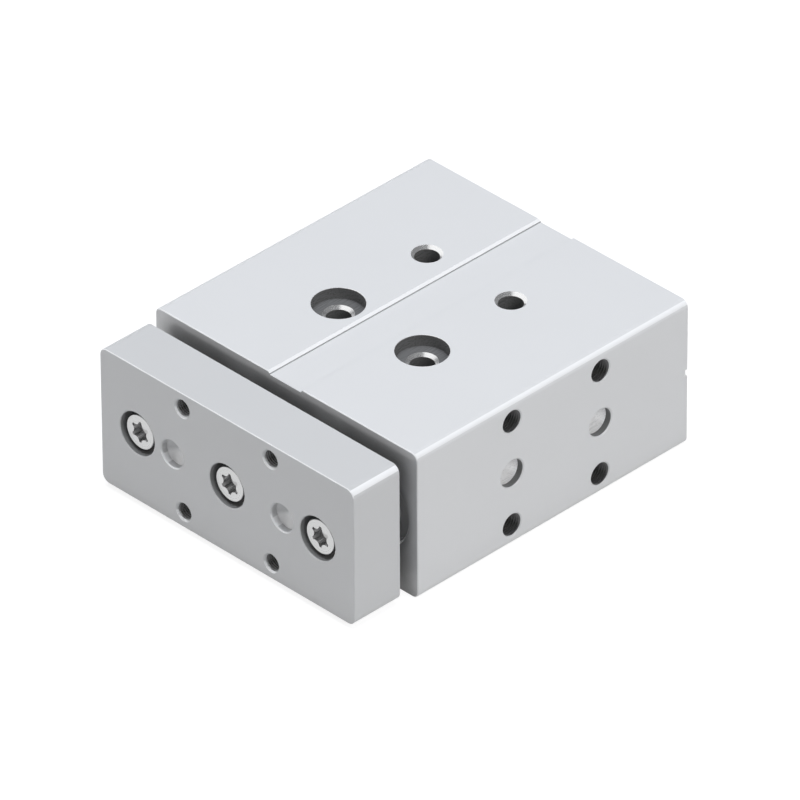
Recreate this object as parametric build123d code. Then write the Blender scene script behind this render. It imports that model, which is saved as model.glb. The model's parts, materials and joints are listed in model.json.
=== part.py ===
from build123d import *
import math
import os

os.makedirs("parts", exist_ok=True)

# Guided pneumatic cylinder: a piston rod and two guide rods carry a yoke plate out of a square housing.
# Millimetres. +Y runs from the yoke plate to the rear, +X points at the side with the tapped holes,
# +Z is up. Lengths along the housing are measured from its front face, with the yoke drawn in.

# Housing block
housing_width = 59.4
housing_height = 27.8
long_edge_radius = 1.3
edge_break = 0.15
top_groove_width = 7.2
top_groove_depth = 0.6
top_groove_chamfer = 0.4
vent_groove_height = 1.4
vent_groove_depth = 0.6
sensor_slot_mouth = 2.8
sensor_slot_diameter = 4.2
sensor_slot_cover = 1.0

# Fixing holes of the housing
first_row = 21.2
row_pitch = 20.0
top_hole_spacing = 19.0
top_hole_diameter = 4.2
top_hole_chamfer = 0.55
counterbore_diameter = 8.9
counterbore_depth = 2.1
counterbore_break = 0.05
side_thread_spacing = 20.0
side_thread_diameter = 4.0
side_thread_depth = 8.0
thread_mouth_chamfer = 0.2
centring_diameter = 5.0
centring_depth = 1.3
centring_chamfer = 0.2
drill_point_angle = 118.0

# Supply ports on the left side
port_diameter = 5.0
port_depth = 5.0
port_height = 8.5
feed_diameter = 1.6
feed_landing_angle = 52.0

# Motion
stroke = 20.0
yoke_gap = 3.0
end_play = 0.1

# Cylinder bore and what closes it
bore_diameter = 12.0
cap_diameter = 14.6
cap_length = 11.0
end_cap_length = 8.4
cap_chamfer = 0.4
ring_recess = 1.3
ring_thickness = 1.0
ring_groove_depth = 0.5
ring_groove_width = 1.1
ring_width = 1.7
ring_gap_angle = 50.0
ring_lug_radius = 1.3
ring_lug_hole = 1.0
o_ring_section = 1.2
o_ring_groove_width = 1.7
o_ring_land = 1.8
feed_groove_width = 2.2
feed_groove_depth = 0.9
feed_groove_offset = 0.8
feed_hole_diameter = 1.4
feed_hole_count = 4
end_cap_pocket_reserve = 1.6

# Piston rod and its bearing
rod_diameter = 6.0
rod_neck_diameter = 4.0
rod_bush_wall = 1.0
rod_bush_length = 4.2
rod_seal_width = 2.0
rod_seal_length = 3.0
rod_seal_wall = 0.6
cap_pocket_diameter = 8.8

# Piston
piston_diameter = 11.8
piston_front_length = 5.0
piston_magnet_length = 3.0
piston_magnet_recess = 0.3
piston_rear_length = 6.0
piston_bumper_length = 1.5
piston_bumper_diameter = 9.6
piston_bumper_bore = 7.0
piston_seal_length = 2.2
piston_seal_groove_diameter = 8.2
piston_seal_land = 1.0
piston_seal_lip = 0.7
guide_ring_width = 2.0
guide_ring_thickness = 0.8
guide_ring_land = 0.4
guide_ring_split = 0.5
nut_diameter = 5.6
nut_length = 2.0

# Guides
guide_spacing = 41.0
guide_rod_diameter = 8.0
guide_rod_end_recess = 1.2
guide_rod_chamfer = 0.8
guide_rod_front_break = 0.2
guide_bore_diameter = 12.0
guide_bore_chamfer = 0.5
front_bush_length = 12.0
rear_bush_length = 11.0
rear_bush_start = 27.0
bush_chamfer = 0.4
wiper_seat_diameter = 13.8
wiper_seat_depth = 3.2
wiper_seat_chamfer = 0.35
wiper_set_back = 0.6
wiper_lip = 0.5

# Yoke plate and its screws
yoke_width = 57.6
yoke_height = 26.0
yoke_thickness = 10.2
yoke_corner_radius = 1.6
yoke_edge_break = 0.12
yoke_rod_seat_depth = 3.0
yoke_thread_spacing = 20.0
yoke_thread_diameter = 3.0
yoke_thread_chamfer = 0.3
yoke_centring_spacing = 25.0
screw_head_diameter = 6.3
screw_head_height = 2.4
screw_head_bevel = 0.15
screw_head_sink = 0.68
screw_counterbore_diameter = 7.9
screw_counterbore_chamfer = 0.15
screw_diameter = 4.0
screw_hole_diameter = 4.4
screw_engagement = 8.0
screw_tap_reserve = 1.5
recess_diameter = 3.94
recess_flute_radius = 0.9
recess_flute_circle = 2.31
recess_depth = 1.7
recess_lobes = 6

# Edges of the lip seals
lip_chamfer = 0.3
lip_relief = 0.2
lip_thickness = 0.5

# Clearances, all on the radius
running_clearance = 0.03
seat_clearance = 0.02
thread_clearance = 0.05
piston_seal_clearance = 0.02

# How far a cutter runs past the surface that it opens
overcut = 1.0

# Stations along the housing, from its front face
cap_front = ring_recess + ring_thickness
chamber_front = cap_front + cap_length
piston_length = piston_front_length + piston_magnet_length + piston_rear_length + 2 * piston_bumper_length
chamber_rear = chamber_front + stroke + piston_length + 2 * end_play
end_cap_rear = chamber_rear + end_cap_length
housing_length = end_cap_rear + ring_thickness + ring_recess
piston_start = chamber_rear - end_play - piston_length
rows = (first_row, first_row + row_pitch)

# Places in the part's own frame: the origin is under the middle of the whole part
total_length = housing_length + yoke_gap + yoke_thickness
front_face = yoke_thickness + yoke_gap - total_length / 2
yoke_back = front_face - yoke_gap
yoke_front = yoke_back - yoke_thickness
axis_height = housing_height / 2
sides = {"left": -guide_spacing / 2, "right": guide_spacing / 2}


def outline_face(*points):
    """Face inside a closed outline. A chamfer of zero repeats a point, and the repeat is dropped."""
    kept = [point for point, previous in zip(points, points[-1:] + points[:-1]) if point != previous]
    return make_face(Polyline(*kept, close=True))


def turned(*profile):
    """Solid of revolution about the Y axis, from (station, radius) pairs in order round the section."""
    return revolve(outline_face(*[(radius, station) for station, radius in profile]), Axis.Y)


def ring(start, end, inner, outer):
    """Plain ring or, with an inner radius of zero, a plain disc."""
    return turned((start, inner), (start, outer), (end, outer), (end, inner))


def at_axis(solid, x=0.0):
    """Move a turned solid, drawn from the front face, to its place in the housing."""
    return Pos(x, front_face, axis_height) * solid


def bore_along_y(start, end, radius, mouth_chamfer=0.0, rear_chamfer=0.0):
    """Cutter for a bore along Y, with a chamfer at either end that widens outwards."""
    return turned(
        (start, 0),
        (start, radius + mouth_chamfer),
        (start + mouth_chamfer, radius),
        (end - rear_chamfer, radius),
        (end, radius + rear_chamfer),
        (end, 0),
    )


def drilled(diameter, depth, chamfer_size=0.0, point_angle=drill_point_angle):
    """Cutter for a blind hole that runs from the origin down -Z, with a drill point and a mouth chamfer."""
    radius = diameter / 2
    point = radius / math.tan(math.radians(point_angle / 2))
    section = outline_face(
        (0, 0),
        (radius + chamfer_size, 0),
        (radius, -chamfer_size),
        (radius, -depth),
        (0, -depth - point),
    )
    return revolve(Plane.XZ * section, Axis.Z)


def through_hole(diameter, length, chamfer_size):
    """Cutter for a hole that runs from the origin down -Z, chamfered at both ends."""
    radius = diameter / 2
    section = outline_face(
        (0, 0),
        (radius + chamfer_size, 0),
        (radius, -chamfer_size),
        (radius, chamfer_size - length),
        (radius + chamfer_size, -length),
        (0, -length),
    )
    return revolve(Plane.XZ * section, Axis.Z)


def block(width, length, height, corner_radius, end_break):
    """Block that lies along Y from the origin, with rounded long edges and broken end edges."""
    half = width / 2
    section = outline_face((-half, 0), (half, 0), (half, height), (-half, height))
    section = fillet(section.vertices(), corner_radius)
    solid = extrude(Plane.XZ * section, -length)
    end_edges = solid.faces().sort_by(Axis.Y)[0].edges() + solid.faces().sort_by(Axis.Y)[-1].edges()
    return chamfer(end_edges, end_break)


def hexalobular_recess():
    """Cutter for the screws' driver recess, opening towards -Y at the origin."""
    star = Circle(recess_diameter / 2)
    star -= PolarLocations(recess_flute_circle, recess_lobes) * Circle(recess_flute_radius)
    socket = extrude(Plane.XZ * star, -recess_depth)
    root = recess_flute_circle - recess_flute_radius
    point = turned((recess_depth, 0), (recess_depth, root), (recess_depth + root / 2, 0))
    return socket + point


def o_ring_groove(start, outer_radius):
    """Cutter for an O-ring groove in a cap, with its start station."""
    floor = outer_radius - o_ring_section
    return ring(start, start + o_ring_groove_width, floor, outer_radius + overcut)


def o_ring(start):
    """O-ring as it sits in its groove, filling the space between the groove and the recess."""
    middle = cap_diameter / 2 - seat_clearance / 2 - o_ring_section / 2
    section = Pos(middle, start + o_ring_groove_width / 2) * Circle(o_ring_section / 2 - seat_clearance)
    return revolve(section, Axis.Y)


def feed_passages(groove_start, outer_radius):
    """Cutter for the annular air groove of a cap and its radial holes."""
    floor = outer_radius - feed_groove_depth
    groove = ring(groove_start, groove_start + feed_groove_width, floor, outer_radius + overcut)
    middle = groove_start + feed_groove_width / 2
    for index in range(feed_hole_count):
        hole = Pos(0, middle, outer_radius / 2) * Cylinder(feed_hole_diameter / 2, outer_radius)
        groove += Rot(0, index * 360 / feed_hole_count, 0) * hole
    return groove


def retaining_ring(start):
    """Internal retaining ring with two pliers lugs at its gap."""
    outer = cap_diameter / 2 + ring_groove_depth - seat_clearance
    inner = outer - ring_width
    half_gap = math.radians(ring_gap_angle / 2)
    reach = 2 * outer
    wedge = outline_face(
        (0, 0),
        (reach * math.sin(half_gap), -reach * math.cos(half_gap)),
        (-reach * math.sin(half_gap), -reach * math.cos(half_gap)),
    )
    outline = Circle(outer) - Circle(inner) - wedge
    lug_angle = half_gap + ring_lug_radius / inner
    for side in (-1, 1):
        place = Pos(side * inner * math.sin(lug_angle), -inner * math.cos(lug_angle))
        outline += place * Circle(ring_lug_radius)
        outline -= place * Circle(ring_lug_hole / 2)
    return Pos(0, start, 0) * extrude(Plane.XZ * outline, -ring_thickness)


# Cap features: the seal and bush sit in front, the air groove and the pocket lie next to the chamber
cap_radius = cap_diameter / 2 - seat_clearance
rod_seal_front = cap_front + rod_seal_wall
rod_bush_front = rod_seal_front + rod_seal_length
cap_pocket_front = rod_bush_front + rod_bush_length
bearing_o_ring_start = cap_front + o_ring_land
bearing_feed_start = chamber_front - feed_groove_width - feed_groove_offset
end_feed_start = chamber_rear + feed_groove_offset
end_o_ring_start = end_cap_rear - o_ring_land - o_ring_groove_width
port_stations = (bearing_feed_start + feed_groove_width / 2, end_feed_start + feed_groove_width / 2)


def feed_drilling(station):
    """Cutter for a supply port on the left side and the slanting feed from it to a cap's air groove."""
    port = drilled(port_diameter, port_depth, thread_mouth_chamfer)
    port = Pos(-housing_width / 2, station, axis_height + port_height) * Rot(0, -90, 0) * port
    groove_radius = cap_radius - feed_groove_depth / 2
    landing = math.radians(feed_landing_angle)
    start_x = -housing_width / 2 + port_depth
    end_x = -groove_radius * math.cos(landing)
    rise = groove_radius * math.sin(landing) - port_height
    run = end_x - start_x
    length = math.hypot(run, rise)
    tilt = math.degrees(math.atan2(run, rise))
    middle = Pos((start_x + end_x) / 2, station, axis_height + port_height + rise / 2)
    return port + middle * Rot(0, tilt, 0) * Cylinder(feed_diameter / 2, length)


def groove_cutters():
    """Cutters for the shallow top groove, the sensor slot below and the vent groove across the rear."""
    half_floor = top_groove_width / 2
    half_mouth = half_floor + top_groove_chamfer
    floor = housing_height - top_groove_depth
    lip = housing_height - top_groove_chamfer
    above = housing_height + overcut
    top_groove = outline_face(
        (-half_floor, floor),
        (half_floor, floor),
        (half_floor, lip),
        (half_mouth, housing_height),
        (half_mouth, above),
        (-half_mouth, above),
        (-half_mouth, housing_height),
        (-half_floor, lip),
    )
    slot_axis = sensor_slot_cover + sensor_slot_diameter / 2
    slot = Pos(0, housing_length / 2, slot_axis) * Rot(90, 0, 0)
    slot = slot * Cylinder(sensor_slot_diameter / 2, housing_length)
    slot += Pos(0, housing_length / 2, slot_axis / 2) * Box(sensor_slot_mouth, housing_length, slot_axis)
    vent = Box(housing_width, vent_groove_depth, vent_groove_height)
    vent = Pos(0, housing_length - vent_groove_depth / 2, axis_height) * vent
    return [extrude(Plane.XZ * top_groove, -housing_length), slot, vent]


def bore_cutters():
    """Cutters for the cylinder bore with its cap recesses, and for the two guide bores."""
    recess_radius = cap_diameter / 2
    ring_groove_radius = recess_radius + ring_groove_depth
    cutters = [
        bore_along_y(chamber_front, chamber_rear, bore_diameter / 2),
        bore_along_y(0, chamber_front, recess_radius, mouth_chamfer=cap_chamfer),
        bore_along_y(chamber_rear, housing_length, recess_radius, rear_chamfer=cap_chamfer),
        ring(cap_front - ring_groove_width, cap_front, 0, ring_groove_radius),
        ring(end_cap_rear, end_cap_rear + ring_groove_width, 0, ring_groove_radius),
    ]
    guide_bore = bore_along_y(0, housing_length, guide_bore_diameter / 2, rear_chamfer=guide_bore_chamfer)
    guide_bore += bore_along_y(
        0, wiper_seat_depth, wiper_seat_diameter / 2, mouth_chamfer=wiper_seat_chamfer)
    cutters += [Pos(x, 0, 0) * guide_bore for x in sides.values()]
    return [Pos(0, 0, axis_height) * cutter for cutter in cutters]


def fixing_hole_cutters():
    """Cutters for the through-holes, sunk from above or below, and for the holes of the right side."""
    top_hole = through_hole(top_hole_diameter, housing_height - counterbore_depth, top_hole_chamfer)
    sunk_hole = drilled(counterbore_diameter, counterbore_depth, counterbore_break, point_angle=180)
    sunk_hole += Pos(0, 0, -counterbore_depth) * top_hole
    cutters = []
    for x in (-top_hole_spacing / 2, top_hole_spacing / 2):
        cutters.append(Pos(x, rows[0], housing_height) * sunk_hole)
        cutters.append(Pos(x, rows[1], 0) * Rot(180, 0, 0) * sunk_hole)
    side_thread = drilled(side_thread_diameter, side_thread_depth, thread_mouth_chamfer)
    centring = drilled(centring_diameter, centring_depth, centring_chamfer)
    for station in rows:
        face = Pos(housing_width / 2, station, axis_height) * Rot(0, 90, 0)
        cutters.append(face * centring)
        for offset in (-side_thread_spacing / 2, side_thread_spacing / 2):
            cutters.append(face * Pos(offset, 0, 0) * side_thread)
    return cutters


def make_housing():
    """The machined block, with every bore, recess, groove and fixing hole."""
    body = block(housing_width, housing_length, housing_height, long_edge_radius, edge_break)
    feeds = [feed_drilling(station) for station in port_stations]
    for cutter in groove_cutters() + bore_cutters() + fixing_hole_cutters() + feeds:
        body -= cutter
    return Pos(0, front_face, 0) * body


def cap_blank(start, end):
    """Solid blank of a cap, chamfered at both ends."""
    return turned(
        (start, 0),
        (start, cap_radius - cap_chamfer),
        (start + cap_chamfer, cap_radius),
        (end - cap_chamfer, cap_radius),
        (end, cap_radius - cap_chamfer),
        (end, 0),
    )


def make_bearing_cap():
    """Front closure of the cylinder bore, with seats for the rod seal and the rod bush."""
    body = cap_blank(cap_front, chamber_front)
    body -= ring(cap_front, chamber_front, 0, rod_diameter / 2 + rod_bush_wall / 2)
    body -= ring(rod_seal_front, rod_bush_front, 0, rod_diameter / 2 + rod_seal_width)
    body -= ring(rod_bush_front, cap_pocket_front, 0, rod_diameter / 2 + rod_bush_wall + seat_clearance)
    body -= ring(cap_pocket_front, chamber_front, 0, cap_pocket_diameter / 2)
    body -= o_ring_groove(bearing_o_ring_start, cap_radius)
    body -= feed_passages(bearing_feed_start, cap_radius)
    return at_axis(body)


def make_end_cap():
    """Rear closure of the cylinder bore, with an air pocket that also clears the piston nut."""
    body = cap_blank(chamber_rear, end_cap_rear)
    pocket_depth = feed_groove_width + end_cap_pocket_reserve
    body -= ring(chamber_rear, chamber_rear + pocket_depth, 0, cap_pocket_diameter / 2)
    body -= o_ring_groove(end_o_ring_start, cap_radius)
    body -= feed_passages(end_feed_start, cap_radius)
    return at_axis(body)


def make_rod_bush():
    """Plain bearing of the piston rod."""
    inner = rod_diameter / 2 + running_clearance
    outer = rod_diameter / 2 + rod_bush_wall
    return at_axis(ring(rod_bush_front, cap_pocket_front, inner, outer))


def make_rod_seal():
    """Lip seal of the piston rod: its open side faces the chamber."""
    inner = rod_diameter / 2 + running_clearance
    outer = rod_diameter / 2 + rod_seal_width - seat_clearance
    middle = (inner + outer) / 2
    return at_axis(turned(
        (rod_seal_front, inner + lip_chamfer),
        (rod_seal_front, outer),
        (rod_bush_front, outer),
        (rod_bush_front, outer - lip_thickness),
        (rod_seal_front + rod_seal_length / 2, middle),
        (rod_bush_front - lip_relief, inner + lip_thickness),
        (rod_bush_front - lip_relief, inner),
        (rod_seal_front + lip_chamfer, inner),
    ))


def make_guide_bush(x, start, length):
    """Plain guide bush, chamfered at both ends inside and out."""
    inner = guide_rod_diameter / 2 + running_clearance
    outer = guide_bore_diameter / 2 - seat_clearance
    end = start + length
    return at_axis(turned(
        (start, inner + bush_chamfer),
        (start, outer - bush_chamfer),
        (start + bush_chamfer, outer),
        (end - bush_chamfer, outer),
        (end, outer - bush_chamfer),
        (end, inner + bush_chamfer),
        (end - bush_chamfer, inner),
        (start + bush_chamfer, inner),
    ), x)


def make_guide_wiper(x):
    """Wiper ring in front of the front guide bush, with a lip that points outwards."""
    inner = guide_rod_diameter / 2 + running_clearance
    outer = wiper_seat_diameter / 2 - seat_clearance
    return at_axis(turned(
        (wiper_set_back, inner),
        (wiper_set_back, inner + wiper_lip / 2),
        (wiper_set_back + wiper_lip, inner + wiper_lip),
        (wiper_set_back + wiper_lip, outer - wiper_lip),
        (wiper_set_back, outer - wiper_lip / 2),
        (wiper_set_back, outer),
        (wiper_seat_depth, outer),
        (wiper_seat_depth, inner + wiper_lip),
        (wiper_set_back + 2 * wiper_lip, inner + wiper_lip / 2),
    ), x)


def make_yoke_plate():
    """Yoke plate, with the seats of the three rods behind and the customer's holes in front."""
    body = block(yoke_width, yoke_thickness, yoke_height, yoke_corner_radius, yoke_edge_break)
    body = Pos(0, yoke_front, axis_height - yoke_height / 2) * body
    face = Pos(0, yoke_front, axis_height) * Rot(90, 0, 0)
    head_floor = screw_head_sink + screw_head_height
    counterbore = drilled(screw_counterbore_diameter, head_floor, screw_counterbore_chamfer, point_angle=180)
    screw_hole = through_hole(screw_hole_diameter, yoke_thickness, 0)
    for x in (sides["left"], 0, sides["right"]):
        seat_diameter = rod_diameter if x == 0 else guide_rod_diameter
        seat = ring(yoke_thickness - yoke_rod_seat_depth, yoke_thickness, 0,
                    seat_diameter / 2 + seat_clearance)
        body -= Pos(x, yoke_front, axis_height) * seat
        body -= face * Pos(x, 0, 0) * (counterbore + screw_hole)
    thread = through_hole(yoke_thread_diameter, yoke_thickness, yoke_thread_chamfer)
    for x in (-yoke_thread_spacing / 2, yoke_thread_spacing / 2):
        for z in (-yoke_thread_spacing / 2, yoke_thread_spacing / 2):
            body -= face * Pos(x, z, 0) * thread
    centring = drilled(centring_diameter, centring_depth, centring_chamfer)
    for x in (-yoke_centring_spacing / 2, yoke_centring_spacing / 2):
        body -= face * Pos(x, 0, 0) * centring
    return body


def screw_tap(start):
    """Cutter for the tapped hole in a rod's front end."""
    depth = screw_engagement + screw_tap_reserve
    radius = screw_diameter / 2
    point = radius / math.tan(math.radians(drill_point_angle / 2))
    return turned((start, 0), (start, radius), (start + depth, radius), (start + depth + point, 0))


def make_guide_rod(x):
    """Hardened guide rod, tapped at the yoke end and chamfered at both ends."""
    start = -yoke_gap - yoke_rod_seat_depth
    end = housing_length - guide_rod_end_recess
    radius = guide_rod_diameter / 2
    body = turned(
        (start, 0),
        (start, radius - guide_rod_front_break),
        (start + guide_rod_front_break, radius),
        (end - guide_rod_chamfer, radius),
        (end, radius - guide_rod_chamfer),
        (end, 0),
    )
    return at_axis(body - screw_tap(start), x)


def make_piston_rod():
    """Piston rod: tapped at the yoke end, with a neck that carries the piston and its nut."""
    start = -yoke_gap - yoke_rod_seat_depth
    shoulder = piston_start + piston_bumper_length
    end = piston_start + piston_length - piston_bumper_length
    radius = rod_diameter / 2
    neck = rod_neck_diameter / 2
    body = turned((start, 0), (start, radius), (shoulder, radius), (shoulder, neck), (end, neck), (end, 0))
    return at_axis(body - screw_tap(start))


def make_screw(x):
    """Screw with a flat bevelled head and a hexalobular recess, sunk in the yoke plate."""
    head_top = yoke_front + screw_head_sink
    shank_end = yoke_thickness - yoke_rod_seat_depth + screw_engagement - screw_head_sink
    head = screw_head_diameter / 2
    shank = screw_diameter / 2 - thread_clearance
    body = turned(
        (0, 0),
        (0, head - screw_head_bevel),
        (screw_head_bevel, head),
        (screw_head_height, head),
        (screw_head_height, shank),
        (shank_end - shank / 2, shank),
        (shank_end, shank / 2),
        (shank_end, 0),
    )
    return Pos(x, head_top, axis_height) * (body - hexalobular_recess())


# Stations of the piston stack, from its front bumper to its rear bumper
piston_front_start = piston_start + piston_bumper_length
magnet_start = piston_front_start + piston_front_length
piston_rear_start = magnet_start + piston_magnet_length
piston_rear_end = piston_rear_start + piston_rear_length
neck_bore = rod_neck_diameter / 2 + seat_clearance
seal_groove_radius = piston_seal_groove_diameter / 2
front_seal_start = piston_front_start + piston_seal_land
rear_seal_start = piston_rear_end - piston_seal_land - piston_seal_length
guide_ring_start = piston_rear_start + guide_ring_land
piston_magnet_radius = piston_diameter / 2 - piston_magnet_recess


def make_piston_half(start, end, seal_start):
    """Half of the piston, with the groove of its lip seal."""
    body = ring(start, end, neck_bore, piston_diameter / 2)
    body -= ring(seal_start, seal_start + piston_seal_length, seal_groove_radius, piston_diameter)
    return body


def make_piston_front():
    """Front half of the piston."""
    return at_axis(make_piston_half(piston_front_start, magnet_start, front_seal_start))


def make_piston_rear():
    """Rear half of the piston, which also carries the guide ring and houses the nut."""
    body = make_piston_half(piston_rear_start, piston_rear_end, rear_seal_start)
    body -= ring(guide_ring_start, guide_ring_start + guide_ring_width,
                 piston_diameter / 2 - guide_ring_thickness, piston_diameter)
    body -= ring(piston_rear_end - nut_length, piston_rear_end, 0, nut_diameter / 2 + running_clearance)
    return at_axis(body)


def make_piston_magnet():
    """Ring magnet between the two halves of the piston."""
    return at_axis(ring(magnet_start, piston_rear_start, neck_bore, piston_magnet_radius))


def make_piston_seal(start, facing):
    """Lip seal of the piston: facing is -1 for a lip that opens forwards, 1 for one that opens rearwards."""
    inner = seal_groove_radius + seat_clearance
    outer = bore_diameter / 2 - piston_seal_clearance
    lip = outer - piston_seal_lip
    middle = start + piston_seal_length / 2
    open_end = middle + facing * (piston_seal_length / 2)
    closed_end = middle - facing * (piston_seal_length / 2)
    return at_axis(turned(
        (closed_end, inner),
        (closed_end, outer - lip_chamfer),
        (middle, outer - lip_relief),
        (open_end - facing * lip_chamfer, outer),
        (open_end, outer - lip_relief),
        (middle, lip),
        (open_end, inner + lip_chamfer),
        (open_end, inner),
    ))


def make_guide_ring():
    """Split wear ring of the piston."""
    inner = piston_diameter / 2 - guide_ring_thickness + seat_clearance
    outer = bore_diameter / 2 - running_clearance
    body = ring(guide_ring_start, guide_ring_start + guide_ring_width, inner, outer)
    split = Box(guide_ring_split, 2 * guide_ring_width, 4 * guide_ring_thickness)
    return at_axis(body - Pos(0, guide_ring_start + guide_ring_width / 2, outer) * split)


def make_piston_bumper(start):
    """Elastic cushioning ring on a face of the piston."""
    inner = piston_bumper_bore / 2
    return at_axis(ring(start, start + piston_bumper_length, inner, piston_bumper_diameter / 2))


def make_piston_nut():
    """Round nut on the neck of the piston rod, sunk in the rear half of the piston."""
    return at_axis(ring(piston_rear_end - nut_length, piston_rear_end, neck_bore, nut_diameter / 2))


pieces = {
    "housing": make_housing(),
    "bearing_cap": make_bearing_cap(),
    "bearing_cap_o_ring": at_axis(o_ring(bearing_o_ring_start)),
    "bearing_cap_retaining_ring": at_axis(retaining_ring(ring_recess)),
    "rod_bush": make_rod_bush(),
    "rod_seal": make_rod_seal(),
    "end_cap": make_end_cap(),
    "end_cap_o_ring": at_axis(o_ring(end_o_ring_start)),
    "end_cap_retaining_ring": at_axis(retaining_ring(end_cap_rear)),
    "yoke_plate": make_yoke_plate(),
    "piston_rod": make_piston_rod(),
    "rod_screw": make_screw(0),
    "piston_front": make_piston_front(),
    "piston_rear": make_piston_rear(),
    "piston_magnet": make_piston_magnet(),
    "piston_seal_front": make_piston_seal(front_seal_start, -1),
    "piston_seal_rear": make_piston_seal(rear_seal_start, 1),
    "piston_guide_ring": make_guide_ring(),
    "piston_bumper_front": make_piston_bumper(piston_start),
    "piston_bumper_rear": make_piston_bumper(piston_rear_end),
    "piston_nut": make_piston_nut(),
}
for side, x in sides.items():
    pieces["guide_bush_front_" + side] = make_guide_bush(x, wiper_seat_depth, front_bush_length)
    pieces["guide_bush_rear_" + side] = make_guide_bush(x, rear_bush_start, rear_bush_length)
    pieces["guide_wiper_" + side] = make_guide_wiper(x)
    pieces["guide_rod_" + side] = make_guide_rod(x)
    pieces["guide_screw_" + side] = make_screw(x)

for name, solid in pieces.items():
    export_step(solid, "parts/" + name + ".step")
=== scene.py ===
"""Looks of the guided pneumatic cylinder: finishes of its pieces, cut threads and a plain studio."""

import json
import math

import bmesh
import bpy
from mathutils import Matrix, Vector


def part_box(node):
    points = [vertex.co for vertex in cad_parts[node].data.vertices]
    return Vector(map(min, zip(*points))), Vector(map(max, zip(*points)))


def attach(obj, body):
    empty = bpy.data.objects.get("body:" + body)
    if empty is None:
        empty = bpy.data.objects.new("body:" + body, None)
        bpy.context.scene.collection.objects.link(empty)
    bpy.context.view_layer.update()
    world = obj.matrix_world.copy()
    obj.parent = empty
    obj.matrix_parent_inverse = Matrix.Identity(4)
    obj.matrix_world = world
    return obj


bl_info = {
    "name": "Guided pneumatic cylinder looks",
    "version": (1, 0, 0),
    "blender": (4, 5, 0),
    "location": "View3D > Sidebar > Cylinder",
    "description": "Finishes a guided pneumatic cylinder, cuts its threads and sets up a plain studio",
    "category": "Object",
}

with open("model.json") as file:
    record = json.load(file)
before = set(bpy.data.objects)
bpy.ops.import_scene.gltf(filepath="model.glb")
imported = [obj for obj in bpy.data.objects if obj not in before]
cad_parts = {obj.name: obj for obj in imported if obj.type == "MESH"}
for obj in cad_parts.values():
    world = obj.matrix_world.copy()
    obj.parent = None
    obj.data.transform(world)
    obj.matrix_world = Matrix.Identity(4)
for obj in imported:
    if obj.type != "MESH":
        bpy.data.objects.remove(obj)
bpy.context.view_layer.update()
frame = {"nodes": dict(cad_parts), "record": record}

MM = 0.001
HOUSING_LOW, HOUSING_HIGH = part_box("housing")
PLATE_LOW, PLATE_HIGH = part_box("yoke_plate")
SCREW_LOW, SCREW_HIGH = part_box("guide_screw_right")
AXIS_HEIGHT = (HOUSING_LOW.z + HOUSING_HIGH.z) / 2
GUIDE_X = (SCREW_LOW.x + SCREW_HIGH.x) / 2
MOUNTS = {mount["name"]: mount for mount in frame["record"]["mounts"]}

# The groove on top of the housing, and the painted shade, a thin dark line, at the foot of each of its
# walls
GROOVE_FLOOR = HOUSING_HIGH.z - 0.6 * MM
GROOVE_HALF = 3.6 * MM
FOOT_SHADE_ON_FLOOR = 0.1 * MM
FOOT_SHADE_IN_WALL = 0.05 * MM
FOOT_SHADE_HEIGHT = 0.18 * MM
FOOT_SHADE_DEPTH = 0.05 * MM

# Radii of the masks round the holes' axes
FIXING_HOLE_RADIUS = 4.60 * MM
SIDE_THREAD_RADIUS = 2.25 * MM
SIDE_CENTRING_FLOOR = 2.49 * MM
SIDE_CENTRING_MOUTH = 2.75 * MM
PORT_RADIUS = 2.71 * MM
WIPER_SEAT_RADIUS = 7.45 * MM
GUIDE_BORE_RADIUS = 6.30 * MM
CAP_RECESS_RADIUS = 7.81 * MM
PLATE_COUNTERBORE_RADIUS = 4.11 * MM
RECESS_RADIUS = 2.0 * MM
HEAD_FACE_RADIUS = 3.03 * MM

# Depths: of the wipers' seats from the housing's front, of a hole's mouth, and just under a surface
WIPER_SEAT_DEPTH = 4 * MM
MOUTH_DEPTH = 0.6 * MM
SKIN = 0.01 * MM
HEAD_SKIN = 0.02 * MM

# Shares of the surface normal along an axis
STEEP = 0.3
FACING = 0.8
SQUARE_ON = 0.9
# The edge values set where the painted highlight on the upper edges lies: slanted normals that face up and
# not left
EDGE_SLANT = (0.92, 0.87)
EDGE_UPPER = (0.05, 0.3)
EDGE_NOT_LEFT = (-0.6, -0.2)

# The shade that close pieces throw on the end faces, and the grain's part in the roughness
SHADE_REACH = 5 * MM
SHADE_LIMITS = (0.25, 0.8)
SHADE_DEPTH = 0.78
GRAIN_ROUGHNESS = 0.1

# The ridge of a thread in shares of its pitch, how far it is sunk in the wall, and its steps in a turn
CREST_START = 0.36
CREST_END = 0.46
ROOT_END = 0.82
MOUTH_OVERLAP = 0.1
EMBED = 0.02 * MM
THREAD_STEPS = 36

# The studio
PALE_DIRECTION = (-0.70, -0.55, 0.45)
PALE_LIMITS = (0.33, 0.50)
SHADED_STUDIO = (0.12, 0.12, 0.12)
SKY_COLOUR = (0.97, 0.965, 0.96)
FLOOR_COLOUR = (0.5, 0.5, 0.5)
FLOOR_SHADOW_COLOUR = (0.25, 0.25, 0.25)
FLOOR_LIFT = 0.86
KEY_DIRECTION = (0.75, 0.0, 0.66)
FILL_DIRECTION = (-0.62, -0.775, 0.12)
TOP_DIRECTION = (0, 0, 1)
TOP_COLOUR = (0.887, 0.93, 1.0)
SENSOR_WIDTH = 36.0

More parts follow.
